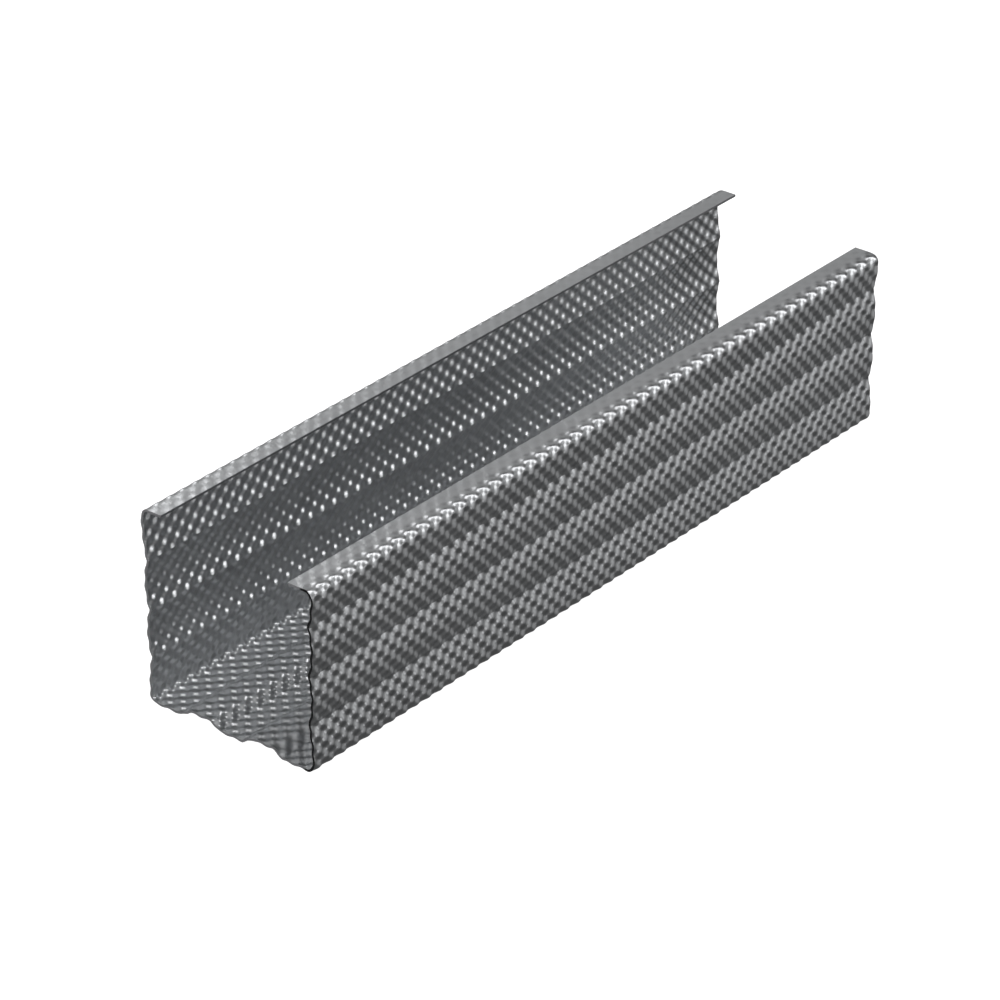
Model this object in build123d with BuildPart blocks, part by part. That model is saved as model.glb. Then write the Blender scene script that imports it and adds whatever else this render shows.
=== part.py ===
from build123d import *
import os

# Short length of a lipped C stud, roll-formed from one strip of thin galvanised steel.
# Millimetres. X runs across the web, Y along the stud, Z up out of the web.
# The origin is under the middle of the web, halfway along the stud.
# Every width and height below is measured on the outer face of the sheet.

# Main sizes
length = 214.0            # from one cut end to the other
sheet = 0.6               # thickness of the strip
web_width = 48.8          # across the two bottom bends
short_flange = 46.4       # right flange, from the floor to the top of its lip
tall_flange = 50.0        # left flange, a little taller so that two studs nest
short_lip = 7.0           # lip of the right flange, from the flange's outer face
tall_lip = 6.0            # lip of the left flange
flange_spread = 0.6       # how far each flange leans outwards at its top

# Bends, outer radii
web_bend = 2.0            # between the web and each flange
lip_bend = 2.2            # between each flange and its lip

# Grooves pressed into both flanges, at the same heights
groove_heights = [12.0, 24.3, 36.9]
groove_depth = 0.9        # from the crest of the bulge beside it

# Two ridges pressed up into the web, one each side of the middle
ridge_offset = 9.3        # middle of the web to the middle of a ridge
ridge_height = 1.7
ridge_crown = 6.0         # width along the top, between its corners
ridge_flank = 2.9         # width that each sloping side covers
ridge_round = 1.5         # radius of the four bends of a ridge

half_web = web_width / 2


def crest(height, flange):
    """Distance from the middle to the outermost face of a flange at this height."""
    return half_web + flange_spread * height / flange


def ridge_corners(side):
    """Corners of one web ridge from its inner foot to its outer foot; side is 1 or -1."""
    crown = ridge_crown / 2
    return [
        (side * (ridge_offset - crown - ridge_flank), 0),
        (side * (ridge_offset - crown), ridge_height),
        (side * (ridge_offset + crown), ridge_height),
        (side * (ridge_offset + crown + ridge_flank), 0),
    ]


def draw_flange(side, flange, lip):
    """Outer face of one flange and its lip: a bulge below and above each sharp groove."""
    foot = (side * half_web, 0)
    valleys = [(side * (crest(h, flange) - groove_depth), h) for h in groove_heights]
    lip_corner = (side * crest(flange, flange), flange)
    for low, high in zip([foot] + valleys, valleys + [lip_corner]):
        middle = (low[1] + high[1]) / 2
        ThreePointArc(low, (side * crest(middle, flange), middle), high)
    Line(lip_corner, (lip_corner[0] - side * lip, flange))


def near(points):
    """Vertices of the outline that lie on the given points."""
    found = outer_face.vertices()
    return [v for v in found if any(abs(v.X - x) + abs(v.Y - y) < 0.01 for x, y in points)]


with BuildPart() as steel_stud:
    with BuildSketch(Plane.XZ):
        with BuildLine() as outer_face:
            ridges = ridge_corners(-1)[::-1] + ridge_corners(1)
            web_corners = [(-half_web, 0), (half_web, 0)]
            Polyline(web_corners[0], *ridges, web_corners[1])
            draw_flange(1, short_flange, short_lip)
            draw_flange(-1, tall_flange, tall_lip)
            fillet(near(ridges), ridge_round)
            fillet(near(web_corners), web_bend)
            lip_corners = [
                (half_web + flange_spread, short_flange),
                (-half_web - flange_spread, tall_flange),
            ]
            fillet(near(lip_corners), lip_bend)
            offset(amount=sheet, side=Side.LEFT)
        make_face()
    extrude(amount=length / 2, both=True)

steel_stud.part.label = "steel_stud"

os.makedirs("parts", exist_ok=True)
export_step(steel_stud.part, "parts/steel_stud.step")

box = steel_stud.part.bounding_box()
print("size", box.size, "from", box.min, "volume", steel_stud.part.volume)
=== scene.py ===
import math

import bpy
from mathutils import Matrix, Vector


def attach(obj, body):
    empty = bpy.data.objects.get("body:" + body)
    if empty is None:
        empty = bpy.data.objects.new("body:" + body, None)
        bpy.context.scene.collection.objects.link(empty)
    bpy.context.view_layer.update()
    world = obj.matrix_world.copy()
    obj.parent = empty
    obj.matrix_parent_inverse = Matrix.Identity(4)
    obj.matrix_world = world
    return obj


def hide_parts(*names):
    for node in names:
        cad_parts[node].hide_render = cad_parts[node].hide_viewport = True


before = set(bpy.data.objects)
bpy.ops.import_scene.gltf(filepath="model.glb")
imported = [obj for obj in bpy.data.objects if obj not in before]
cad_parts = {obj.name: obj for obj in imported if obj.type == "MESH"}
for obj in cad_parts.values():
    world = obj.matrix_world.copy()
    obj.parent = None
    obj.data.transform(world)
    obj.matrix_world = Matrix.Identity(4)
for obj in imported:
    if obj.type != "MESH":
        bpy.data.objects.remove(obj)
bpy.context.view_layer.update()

# Everything is in metres: x across the web, y along the stud, z up.
# The section is drawn on the outer face of the sheet. Its points are flat vectors,
# whose x is the stud's x and whose y is the stud's z.

stud = {
    "length": 0.2140,           # from one cut end to the other
    "sheet": 0.0006,            # thickness of the strip
    "webWidth": 0.0488,         # across the two bottom bends
    "shortFlange": 0.0464,      # from the floor to the top of its lip
    "tallFlange": 0.0500,
    "shortLip": 0.0070,         # from the flange's outer face to the free edge
    "tallLip": 0.0060,
    "flangeSpread": 0.0006,     # how far a flange leans out at its top
    "webBend": 0.0020,          # outer radii of the bends
    "lipBend": 0.0022,
    "grooveHeights": [0.0120, 0.0243, 0.0369],
    "grooveDepth": 0.0009,      # from the crest of the bulge beside it
    "ridgeOffset": 0.0093,      # from the middle of the web to the middle of a ridge
    "ridgeHeight": 0.0017,
    "ridgeCrown": 0.0060,       # width along the top, between its corners
    "ridgeFlank": 0.0029,       # width that each sloping side covers
    "ridgeRound": 0.0015,       # radius of the four bends of a ridge
}


def arcBetween(start, middle, end):
    # centre and radius of the circle through three points
    d = 2 * (start.x * (middle.y - end.y) + middle.x * (end.y - start.y)
             + end.x * (start.y - middle.y))
    s, m, e = start.length_squared, middle.length_squared, end.length_squared
    centre = Vector((
        (s * (middle.y - end.y) + m * (end.y - start.y) + e * (start.y - middle.y)) / d,
        (s * (end.x - middle.x) + m * (start.x - end.x) + e * (middle.x - start.x)) / d,
    ))
    return centre, (start - centre).length


def arcPoints(centre, start, end, step):
    # points on the short arc from start to end, without its first point
    a = math.atan2(start.y - centre.y, start.x - centre.x)
    turn = math.atan2(end.y - centre.y, end.x - centre.x) - a
    turn = (turn + math.pi) % (2 * math.pi) - math.pi
    radius = (start - centre).length
    count = max(2, round(abs(turn) * radius / step))
    angles = [a + turn * i / count for i in range(1, count + 1)]
    return [centre + radius * Vector((math.cos(angle), math.sin(angle))) for angle in angles]


def linePoints(start, end, step):
    # points on a straight run, without its first point
    count = max(1, round((end - start).length / step))
    return [start.lerp(end, i / count) for i in range(1, count + 1)]


def webHalf(s, step):
    # from the middle of the web over one ridge to the end of its last bend
    crown, flank, height = s["ridgeCrown"] / 2, s["ridgeFlank"], s["ridgeHeight"]
    ridge = ((-crown - flank, 0), (-crown, height), (crown, height), (crown + flank, 0))
    corners = [Vector((0, 0))]
    corners += [Vector((s["ridgeOffset"] + x, z)) for x, z in ridge]
    corners.append(Vector((s["webWidth"] / 2, 0)))
    points = [corners[0]]
    for before, corner, after in zip(corners, corners[1:], corners[2:]):
        back, ahead = (before - corner).normalized(), (after - corner).normalized()
        half = back.angle(ahead) / 2
        reach = s["ridgeRound"] / math.tan(half)
        centre = corner + (back + ahead).normalized() * s["ridgeRound"] / math.sin(half)
        points += linePoints(points[-1], corner + back * reach, step)
        points += arcPoints(centre, points[-1], corner + ahead * reach, step)
    return points


def flangeSide(s, height, lip, step):
    # from the start of the bottom bend up the flange to the free edge of its lip;
    # also gives that start, and the indices of the points that lie in the grooves
    halfWeb = s["webWidth"] / 2

    def crest(z):
        return halfWeb + s["flangeSpread"] * z / height

    knots = [Vector((halfWeb, 0))]
    knots += [Vector((crest(z) - s["grooveDepth"], z)) for z in s["grooveHeights"]]
    knots.append(Vector((crest(height), height)))
    bulges = []
    for low, high in zip(knots, knots[1:]):
        z = (low.y + high.y) / 2
        bulges.append(arcBetween(low, Vector((crest(z), z)), high))

    def bend(bulge, level, radius):
        # middle of a bend that runs into a bulge, and the point where the two meet
        centre, large = bulge
        x = centre.x + math.sqrt((large - radius) ** 2 - (level - centre.y) ** 2)
        middle = Vector((x, level))
        return middle, centre + (middle - centre).normalized() * large

    webMiddle, webEnd = bend(bulges[0], s["webBend"], s["webBend"])
    lipMiddle, lipStart = bend(bulges[-1], height - s["lipBend"], s["lipBend"])
    start = Vector((webMiddle.x, 0))
    points = arcPoints(webMiddle, start, webEnd, step)
    points += arcPoints(bulges[0][0], webEnd, knots[1], step)
    grooves = [len(points) - 1]
    for bulge, low, high in zip(bulges[1:-1], knots[1:], knots[2:]):
        points += arcPoints(bulge[0], low, high, step)
        grooves.append(len(points) - 1)
    points += arcPoints(bulges[-1][0], knots[-2], lipStart, step)
    points += arcPoints(lipMiddle, lipStart, Vector((lipMiddle.x, height)), step)
    points += linePoints(points[-1], Vector((crest(height) - lip, height)), step)
    return start, points, grooves


def wholeSection(s, step):
    # the outer face from the free edge of the tall lip to that of the short one,
    # with the index of the middle of the web and those of each flange's grooves
    web = webHalf(s, step)
    sides = []
    for height, lip in ((s["tallFlange"], s["tallLip"]), (s["shortFlange"], s["shortLip"])):
        start, flange, grooves = flangeSide(s, height, lip, step)
        half = web + linePoints(web[-1], start, step) + flange
        sides.append((half, [len(half) - len(flange) + i for i in grooves]))
    (left, leftGrooves), (right, rightGrooves) = sides
    points = [Vector((-p.x, p.y)) for p in left[:0:-1]] + right
    middle = len(left) - 1
    return points, middle, [middle - i for i in leftGrooves], [middle + i for i in rightGrooves]


def mitres(points):
    # outward direction at each point, lengthened at a corner so that the sheet
    # keeps its thickness there
    runs = [(b - a).normalized() for a, b in zip(points, points[1:])]
    normals = [Vector((t.y, -t.x)) for t in runs]
    result = []
    for i in range(len(points)):
        a, b = normals[max(i - 1, 0)], normals[min(i, len(normals) - 1)]
        m = (a + b).normalized()
        result.append(m / m.dot(a))
    return result


dimples = {
    "pitchAlong": 0.00423,
    "pitchAcross": 0.00411,
    "shiftAlong": 0.40,         # where the first dimple falls, in pitches
    "shiftAcross": 0.33,
    "relief": 0.00020,          # from the middle of the sheet to the top of a dimple
    "outerShading": 0.00023,    # height that the steel's bump adds to it on the outer face
    "innerShading": 0.00025,    # and on the inner one
    "outerRipple": 0.000045,    # fine rows along the stud, two to a pitch, outer face alone
    "onLips": 0.08,             # share of the relief that is left on the lips
    "tallFlattens": 0.6,        # where it starts to fade, in pitches before the middle
    "shortFlattens": 0.4,       # of each lip's bend
    "lipMarks": 0.000050,       # depth of the small uneven marks that are left there
    "cellsPerPitch": 7,         # mesh faces to a pitch, either way
}


def addNode(tree, kind, inputs=None, **settings):
    # a node whose inputs are given as values or as the sockets that feed them
    node = tree.nodes.new(kind)
    for name, value in settings.items():
        setattr(node, name, value)
    for name, value in (inputs or {}).items():
        socket = node.inputs[name]
        if isinstance(value, bpy.types.NodeSocket):
            tree.links.new(value, socket)
        else:
            socket.default_value = value
    return node


def mathFor(tree):
    # a short way to put Math nodes into one tree
    def mathNode(operation, a, b=0.0):
        return addNode(tree, "ShaderNodeMath", {0: a, 1: b}, operation=operation).outputs[0]
    return mathNode


def eggCrate(maths, turns):
    # hills and hollows in turn, half a pitch apart in both directions, between -1 and 1
    waves = [maths("COSINE", maths("MULTIPLY", turn, 2 * math.pi)) for turn in turns]
    return maths("MULTIPLY", waves[0], waves[1])


def dimpledSheetTree():
    tree = bpy.data.node_groups.new("dimpledSheet", "GeometryNodeTree")
    face = tree.interface
    face.new_socket("Section", in_out="INPUT", socket_type="NodeSocketGeometry")
    for name in ("Length", "Sheet", "Relief",
                 "Pitch Along", "Pitch Across", "Shift Along", "Shift Across"):
        face.new_socket(name, in_out="INPUT", socket_type="NodeSocketFloat")
    face.new_socket("Rows", in_out="INPUT", socket_type="NodeSocketInt")
    face.new_socket("Skin", in_out="INPUT", socket_type="NodeSocketMaterial")
    face.new_socket("Cut Edge", in_out="INPUT", socket_type="NodeSocketMaterial")
    face.new_socket("Sheet", in_out="OUTPUT", socket_type="NodeSocketGeometry")
    given = tree.nodes.new("NodeGroupInput").outputs
    maths = mathFor(tree)

    def stored(name, kind):
        # an attribute of the section's points, as sectionMesh keeps it
        return addNode(
            tree, "GeometryNodeInputNamedAttribute", {"Name": name}, data_type=kind).outputs[0]

    def scaled(vector, factor):
        return addNode(tree, "ShaderNodeVectorMath", {
            0: vector, "Scale": factor}, operation="SCALE").outputs[0]

    # sweep the section along the stud
    profile = addNode(tree, "GeometryNodeMeshToCurve", {"Mesh": given["Section"]})
    halfLength = maths("MULTIPLY", given["Length"], 0.5)
    near = addNode(tree, "ShaderNodeCombineXYZ", {"Y": maths("MULTIPLY", halfLength, -1.0)})
    far = addNode(tree, "ShaderNodeCombineXYZ", {"Y": halfLength})
    run = addNode(tree, "GeometryNodeCurvePrimitiveLine", {
        "Start": near.outputs[0], "End": far.outputs[0]})
    rows = addNode(tree, "GeometryNodeResampleCurve", {
        "Curve": run.outputs[0], "Count": given["Rows"]})
    swept = addNode(tree, "GeometryNodeCurveToMesh", {
        "Curve": rows.outputs[0], "Profile Curve": profile.outputs[0], "Fill Caps": False})

    # press the dimples
    place = addNode(tree, "GeometryNodeInputPosition")
    along = addNode(tree, "ShaderNodeSeparateXYZ", {0: place.outputs[0]}).outputs["Y"]
    across = stored("across", "FLOAT")
    outward = stored("outward", "FLOAT_VECTOR")
    pressed = stored("pressed", "FLOAT")
    turns = [
        maths("ADD", maths("DIVIDE", along, given["Pitch Along"]), given["Shift Along"]),
        maths("ADD", maths("DIVIDE", across, given["Pitch Across"]), given["Shift Across"]),
    ]
    height = maths("MULTIPLY", eggCrate(maths, turns), maths("MULTIPLY", given["Relief"], pressed))
    raised = addNode(tree, "GeometryNodeSetPosition", {
        "Geometry": swept.outputs[0], "Offset": scaled(outward, height)})

    # the steel reads its place in the pattern from this attribute, in pitches along and across,
    # and the share of the relief there, which is below zero on the inner face
    outerWhere = addNode(tree, "ShaderNodeCombineXYZ", {"X": turns[0], "Y": turns[1], "Z": pressed})
    innerWhere = addNode(tree, "ShaderNodeCombineXYZ", {
        "X": turns[0], "Y": turns[1], "Z": maths("MULTIPLY", pressed, -1.0)})
    skin = addNode(tree, "GeometryNodeStoreNamedAttribute", {
        "Geometry": raised.outputs[0], "Name": "pattern",
        "Value": outerWhere.outputs[0]}, data_type="FLOAT_VECTOR")

    # the inner face, one sheet thickness further in, and the cut edges between the two
    inward = scaled(outward, maths("MULTIPLY", given["Sheet"], -1.0))
    inner = addNode(tree, "GeometryNodeExtrudeMesh", {
        "Mesh": skin.outputs[0], "Offset Scale": 0.0, "Individual": False}, mode="FACES")
    moved = addNode(tree, "GeometryNodeSetPosition", {
        "Geometry": inner.outputs["Mesh"], "Selection": inner.outputs["Top"], "Offset": inward})
    marked = addNode(tree, "GeometryNodeStoreNamedAttribute", {
        "Geometry": moved.outputs[0], "Selection": inner.outputs["Top"],
        "Name": "pattern", "Value": innerWhere.outputs[0]}, data_type="FLOAT_VECTOR")
    turned = addNode(tree, "GeometryNodeFlipFaces", {"Mesh": skin.outputs[0]})
    both = addNode(tree, "GeometryNodeJoinGeometry")
    tree.links.new(marked.outputs[0], both.inputs[0])
    tree.links.new(turned.outputs[0], both.inputs[0])
    shell = addNode(tree, "GeometryNodeMergeByDistance", {
        "Geometry": both.outputs[0], "Distance": 1e-6})

    # smooth all over, but sharp at the grooves and the cut edges
    edges = inner.outputs["Side"]
    groove = stored("groove", "BOOLEAN")
    hard = addNode(tree, "FunctionNodeBooleanMath", {0: edges, 1: groove}, operation="OR")
    smooth = addNode(tree, "GeometryNodeSetShadeSmooth", {"Geometry": shell.outputs[0]})
    creased = addNode(tree, "GeometryNodeSetShadeSmooth", {
        "Geometry": smooth.outputs[0], "Selection": hard.outputs[0],
        "Shade Smooth": False}, domain="EDGE")
    real = addNode(tree, "GeometryNodeRealizeInstances", {"Geometry": creased.outputs[0]})
    skinned = addNode(tree, "GeometryNodeSetMaterial", {
        "Geometry": real.outputs[0], "Material": given["Skin"]})
    edged = addNode(tree, "GeometryNodeSetMaterial", {
        "Geometry": skinned.outputs[0], "Selection": edges, "Material": given["Cut Edge"]})
    out = tree.nodes.new("NodeGroupOutput")
    tree.links.new(edged.outputs[0], out.inputs[0])
    return tree


def sectionMesh(name, points, across, outward, pressed, grooves):
    # a chain of points with what the tree above reads at each of them
    mesh = bpy.data.meshes.new(name)
    # the sweep turns a profile's y to face down, so z goes in as -y
    chain = [(i, i + 1) for i in range(len(points) - 1)]
    mesh.from_pydata([(p.x, -p.y, 0) for p in points], chain, [])
    mesh.attributes.new("across", "FLOAT", "POINT").data.foreach_set("value", across)
    flat = [v for m in outward for v in (m.x, 0.0, m.y)]
    mesh.attributes.new("outward", "FLOAT_VECTOR", "POINT").data.foreach_set("vector", flat)
    mesh.attributes.new("pressed", "FLOAT", "POINT").data.foreach_set("value", pressed)
    mesh.attributes.new("groove", "BOOLEAN", "POINT").data.foreach_set("value", grooves)
    return mesh


def setInputs(modifier, values):
    for item in modifier.node_group.interface.items_tree:
        if item.item_type == "SOCKET" and item.in_out == "INPUT" and item.name in values:
            modifier[item.identifier] = values[item.name]


def makePlain(piece):
    # what the modifier makes becomes the piece's own mesh
    graph = bpy.context.evaluated_depsgraph_get()
    made = bpy.data.meshes.new_from_object(piece.evaluated_get(graph))
    piece.modifiers.clear()
    piece.data = made
    made.name = piece.name
    if made.materials[0] is None:      # the sweep leaves an empty first slot
        made.materials.pop(index=0)
    for attribute in list(made.attributes):
        if attribute.name in ("across", "outward", "pressed", "groove"):
            made.attributes.remove(attribute)


zinc = {
    "colour": (0.475, 0.485, 0.495),
    "roughness": 0.30,
    "spangleSize": 0.007,       # across a crystal of the zinc
    "spangleTone": 0.06,        # how much lighter or darker one crystal is than the next
    "spangleGloss": 0.02,       # and how much rougher or smoother
    "toneMix": (0.6, 0.8),      # parts that crystals and clouds have in the tone
    "toneSpan": (0.2, 1.2),     # what that mix runs between
    "glossMix": (0.5, 0.5),
    "glossSpan": (0.2, 0.8),
    "cloudScale": 45.0,         # scales of the noises, per metre
    "grainScale": 2200.0,
    "lipMarkScale": 850.0,
    "grain": 0.000002,          # depth of the fine grain in the coating
}


def newSteel(name):
    material = bpy.data.materials.new(name)
    material.use_nodes = True
    shader = material.node_tree.nodes["Principled BSDF"]
    shader.inputs["Metallic"].default_value = 1.0
    return material, material.node_tree, shader


def steelSkin():
    material, tree, shader = newSteel("galvanisedSteel")
    maths = mathFor(tree)

    # spangle: each crystal of the zinc has its own tone and gloss,
    # and clouds of dull and bright run over them
    place = addNode(tree, "ShaderNodeTexCoord").outputs["Object"]
    cells = addNode(tree, "ShaderNodeTexVoronoi", {
        "Vector": place, "Scale": 1 / zinc["spangleSize"], "Randomness": 1.0})
    crystal = addNode(tree, "ShaderNodeSeparateColor", {0: cells.outputs["Color"]}).outputs
    clouds = addNode(tree, "ShaderNodeTexNoise", {
        "Vector": place, "Scale": zinc["cloudScale"], "Detail": 3.0, "Roughness": 0.6}).outputs[0]

    def spangled(ofCrystal, mix, span, middle, swing):
        # a value that strays from its middle by no more than the swing
        mottle = maths("ADD", maths("MULTIPLY", ofCrystal, mix[0]),
                       maths("MULTIPLY", clouds, mix[1]))
        return addNode(tree, "ShaderNodeMapRange", {
            "Value": mottle, "From Min": span[0], "From Max": span[1],
            "To Min": middle - swing, "To Max": middle + swing}).outputs[0]

    tone = spangled(crystal[0], zinc["toneMix"], zinc["toneSpan"], 1, zinc["spangleTone"])
    gloss = spangled(
        crystal[1], zinc["glossMix"], zinc["glossSpan"], zinc["roughness"], zinc["spangleGloss"])
    colour = addNode(
        tree, "ShaderNodeVectorMath", {0: zinc["colour"], "Scale": tone}, operation="SCALE")
    tree.links.new(colour.outputs[0], shader.inputs["Base Color"])
    tree.links.new(gloss, shader.inputs["Roughness"])

    # the dimples' steeper shading, which differs between the two faces
    pattern = addNode(tree, "ShaderNodeAttribute", attribute_name="pattern")
    turns = addNode(tree, "ShaderNodeSeparateXYZ", {0: pattern.outputs["Vector"]}).outputs
    along, across, side = turns["X"], turns["Y"], turns["Z"]
    outer = maths("MAXIMUM", side, 0.0)
    inner = maths("MAXIMUM", maths("MULTIPLY", side, -1.0), 0.0)
    egg = eggCrate(maths, (along, across))
    ripple = maths("SINE", maths("MULTIPLY", across, 4 * math.pi))
    outside = maths("SUBTRACT", maths("MULTIPLY", egg, dimples["outerShading"]),
                    maths("MULTIPLY", ripple, dimples["outerRipple"]))
    inside = maths("MULTIPLY", egg, dimples["innerShading"])
    relief = maths("SUBTRACT", maths("MULTIPLY", outside, outer), maths("MULTIPLY", inside, inner))

    # the coating's grain, and the uneven marks where the dimples are flattened
    fine = addNode(tree, "ShaderNodeTexNoise", {
        "Vector": place, "Scale": zinc["grainScale"], "Detail": 2.0}).outputs[0]
    marks = addNode(tree, "ShaderNodeTexNoise", {
        "Vector": place, "Scale": zinc["lipMarkScale"], "Detail": 1.0}).outputs[0]
    flattened = maths("SUBTRACT", 1.0, maths("ABSOLUTE", side))
    grain = maths("MULTIPLY", fine, zinc["grain"])
    lipMarks = maths("MULTIPLY", maths("MULTIPLY", marks, flattened), dimples["lipMarks"])
    height = maths("ADD", relief, maths("ADD", grain, lipMarks))
    bump = addNode(tree, "ShaderNodeBump", {"Strength": 1.0, "Distance": 1.0, "Height": height})
    tree.links.new(bump.outputs["Normal"], shader.inputs["Normal"])
    print("made", material.name)
    return material


cutEdge = {
    "paintedShadeColour": (0.012, 0.012, 0.013, 1),   # painted shade: the short flange's cut ends drawn near black, as if in shadow
    "plainColour": (0.26, 0.26, 0.27, 1),
    "paintedShadeFrom": 0.0218,      # distance from the middle of the web where the painted shade is full
    "paintedShadeFade": 0.0006,      # over this width it comes up
    "endReach": 0.0004,         # how far from the stud's end a cut edge still counts as cut across
    "streakScale": 900.0,
    "streaks": 0.06,            # how much the streaks lighten it
    "roughness": 0.45,
}


def cutEdgeSteel():
    material, tree, shader = newSteel("shearedEdge")
    maths = mathFor(tree)
    shader.inputs["Roughness"].default_value = cutEdge["roughness"]
    place = addNode(tree, "ShaderNodeTexCoord").outputs["Object"]
    axes = addNode(tree, "ShaderNodeSeparateXYZ", {0: place}).outputs
    endFrom = stud["length"] / 2 - cutEdge["endReach"]
    atEnd = maths("GREATER_THAN", maths("ABSOLUTE", axes["Y"]), endFrom)
    onShort = addNode(tree, "ShaderNodeMapRange", {
        "Value": axes["X"], "From Min": cutEdge["paintedShadeFrom"] - cutEdge["paintedShadeFade"],
        "From Max": cutEdge["paintedShadeFrom"]}).outputs[0]
    streaks = addNode(tree, "ShaderNodeTexNoise", {
        "Vector": place, "Scale": cutEdge["streakScale"], "Detail": 2.0}).outputs[0]
    # painted shade: the cut ends of the short flange and its lip are darkened to near black as if
    # in shadow, and the noise streaks lighten that a little
    paintedShade = maths("MULTIPLY", atEnd, onShort)
    shadeAndStreaks = maths("SUBTRACT", paintedShade, maths("MULTIPLY", streaks, cutEdge["streaks"]))
    colour = addNode(tree, "ShaderNodeMix", {
        0: shadeAndStreaks, 6: cutEdge["plainColour"], 7: cutEdge["paintedShadeColour"]}, data_type="RGBA")
    tree.links.new(colour.outputs[2], shader.inputs["Base Color"])
    print("made", material.name)
    return material


def reliefLeft(across):
    # share of the relief at each point: the rollers that turn the lips press it almost flat
    halfBend = stud["lipBend"] / 2
    tallBend = abs(across[0]) - stud["tallLip"] + halfBend
    shortBend = across[-1] - stud["shortLip"] + halfBend
    shares = []
    for v in across:
        if v > 0:
            bend, early = shortBend, dimples["shortFlattens"]
        else:
            bend, early = tallBend, dimples["tallFlattens"]
        flattened = min(max((abs(v) - bend) / dimples["pitchAcross"] + early, 0.0), 1.0)
        shares.append(1 + (dimples["onLips"] - 1) * flattened)
    return shares


def buildStud():
    step = dimples["pitchAcross"] / dimples["cellsPerPitch"]
    points, middle, leftGrooves, rightGrooves = wholeSection(stud, step)
    grooves = [i in leftGrooves + rightGrooves for i in range(len(points))]
    outward = mitres(points)
    across = [0.0]     # distance along the section, counted from the middle of the web
    for a, b in zip(points, points[1:]):
        across.append(across[-1] + (b - a).length)
    across = [v - across[middle] for v in across]
    pressed = reliefLeft(across)
    print("section drawn,", len(points), "points,", round(across[-1] - across[0], 4), "round it")

    tree = dimpledSheetTree()
    inputs = {
        "Length": stud["length"],
        "Sheet": stud["sheet"],
        "Relief": dimples["relief"],
        "Pitch Along": dimples["pitchAlong"],
        "Pitch Across": dimples["pitchAcross"],
        "Shift Along": dimples["shiftAlong"],
        "Shift Across": dimples["shiftAcross"],
        "Rows": round(stud["length"] / dimples["pitchAlong"] * dimples["cellsPerPitch"]) + 1,
        "Skin": steelSkin(),
        "Cut Edge": cutEdgeSteel(),
    }
    left, right = leftGrooves[0], rightGrooves[0]     # the pieces meet at the lowest grooves
    stretches = {
        "tallFlangeSheet": (0, left),
        "webSheet": (left, right),
        "shortFlangeSheet": (right, len(points) - 1),
    }
    for name, (first, last) in stretches.items():
        part = slice(first, last + 1)
        mesh = sectionMesh(name + "Section", points[part], across[part],
                           outward[part], pressed[part], grooves[part])
        piece = bpy.data.objects.new(name, mesh)
        bpy.context.scene.collection.objects.link(piece)
        modifier = piece.modifiers.new("dimpledSheet", "NODES")
        modifier.node_group = tree
        setInputs(modifier, inputs)
        makePlain(piece)
        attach(piece, "root")
        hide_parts("steel_stud")
        triangles = sum(len(p.vertices) - 2 for p in piece.data.polygons)
        print("built", name, len(piece.data.vertices), "points,", triangles, "triangles")


buildStud()


studio = {
    "azimuth": 38.85,           # degrees round the stud from its near end
    "elevation": 28.95,
    # from the middle of the near end to the camera, along its right, its up and its back
    "cameraShift": (0.05992, 0.05296, 0.99764),
    "lens": 160.9,              # millimetres, with the sensor's width
    "sensor": 36.0,
    "clip": (0.05, 20),
    "floorLevel": -0.0002,
    "floorWidth": 6.0,
    "floorTone": 0.35,
    "floorGlow": 0.95,
    "roomLight": 0.11,
    "lampDistance": 2.0,        # from the middle of the stud to every lamp
}


def addCamera():
    a, e = math.radians(studio["azimuth"]), math.radians(studio["elevation"])
    right = Vector((math.cos(a), math.sin(a), 0))
    back = Vector((math.sin(a) * math.cos(e), -math.cos(a) * math.cos(e), math.sin(e)))
    up = back.cross(right)
    data = bpy.data.cameras.new("photoCamera")
    data.lens, data.sensor_width = studio["lens"], studio["sensor"]
    data.clip_start, data.clip_end = studio["clip"]
    camera = bpy.data.objects.new("photoCamera", data)
    bpy.context.scene.collection.objects.link(camera)
    x, y, z = studio["cameraShift"]
    spot = Vector((0, -stud["length"] / 2, 0)) + right * x + up * y + back * z
    turn = Matrix((right, up, back)).transposed().to_4x4()
    camera.matrix_world = Matrix.Translation(spot) @ turn
    bpy.context.scene.camera = camera
    print("camera set, lens", studio["lens"], "mm")


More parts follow.
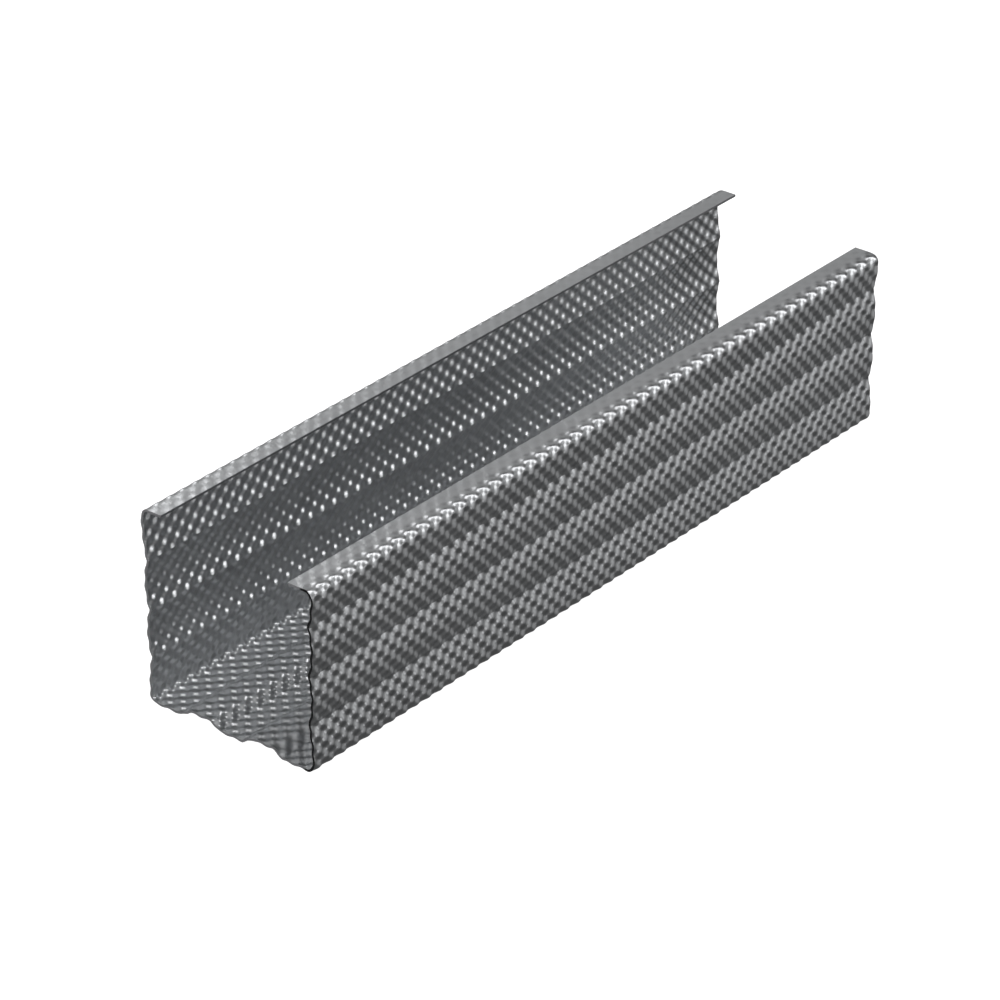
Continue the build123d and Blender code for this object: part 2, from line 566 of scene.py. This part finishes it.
def addFloor():
    # a pale acrylic table, faintly lit from within, wide enough for every view
    half, level = studio["floorWidth"] / 2, studio["floorLevel"]
    corners = [(x * half, y * half, level) for x, y in ((-1, -1), (1, -1), (1, 1), (-1, 1))]
    mesh = bpy.data.meshes.new("floor")
    mesh.from_pydata(corners, [], [(0, 1, 2, 3)])
    floor = bpy.data.objects.new("floor", mesh)
    bpy.context.scene.collection.objects.link(floor)
    material = bpy.data.materials.new("paleFloor")
    material.use_nodes = True
    shader = material.node_tree.nodes["Principled BSDF"]
    shader.inputs["Base Color"].default_value = (*[studio["floorTone"]] * 3, 1)
    shader.inputs["Roughness"].default_value = 1.0
    shader.inputs["Specular IOR Level"].default_value = 0.0
    shader.inputs["Emission Color"].default_value = (1, 1, 1, 1)
    shader.inputs["Emission Strength"].default_value = studio["floorGlow"]
    material.cycles.emission_sampling = "NONE"
    mesh.materials.append(material)
    floor.visible_glossy = False       # the steel mirrors the dim room, not the table
    floor.visible_shadow = False
    print("floor laid at", level)


# soft round lamps: the direction from the stud, the width in metres, the power in watts
lamps = {
    "frontPanel": {"towards": (0.30, -0.95, 0.10), "width": 4.00, "power": 100.0},
    "leftPanel": {"towards": (-1.00, 0.00, 0.00), "width": 4.00, "power": 10.0},
    "topPanel": {"towards": (0.00, 0.00, 1.00), "width": 4.00, "power": 15.0},
    "behindPanel": {"towards": (0.50, 0.87, 0.00), "width": 2.50, "power": 4.0},
    "leftLamp": {"towards": (-0.74, 0.30, 0.60), "width": 1.20, "power": 9.0},
    "overheadLamp": {"towards": (0.32, 0.41, 0.85), "width": 0.92, "power": 6.0},
    "rightTopLamp": {"towards": (0.72, 0.26, 0.65), "width": 0.92, "power": 6.0},
    "rightLamp": {"towards": (0.99, 0.13, 0.10), "width": 0.92, "power": 2.6},
    "behindRightLamp": {"towards": (0.47, 0.68, 0.56), "width": 0.70, "power": 3.8},
    "behindRightLowLamp": {"towards": (0.69, 0.68, 0.23), "width": 0.92, "power": 1.0},
    "behindLeftLamp": {"towards": (-0.53, 0.75, 0.40), "width": 0.92, "power": 0.8},
}


def addLights():
    world = bpy.data.worlds.new("studioWorld")
    world.use_nodes = True
    room = world.node_tree.nodes["Background"]
    room.inputs["Color"].default_value = (1, 1, 1, 1)
    room.inputs["Strength"].default_value = studio["roomLight"]
    bpy.context.scene.world = world
    for name, lamp in lamps.items():
        data = bpy.data.lights.new(name, "AREA")
        data.shape, data.size, data.energy = "DISK", lamp["width"], lamp["power"]
        light = bpy.data.objects.new(name, data)
        bpy.context.scene.collection.objects.link(light)
        direction = Vector(lamp["towards"]).normalized()
        turn = direction.to_track_quat("Z", "Y").to_matrix().to_4x4()
        light.matrix_world = Matrix.Translation(direction * studio["lampDistance"]) @ turn
    print("hung", len(lamps), "lamps")


addCamera()
addFloor()
addLights()
bpy.context.scene.view_settings.view_transform = "Standard"
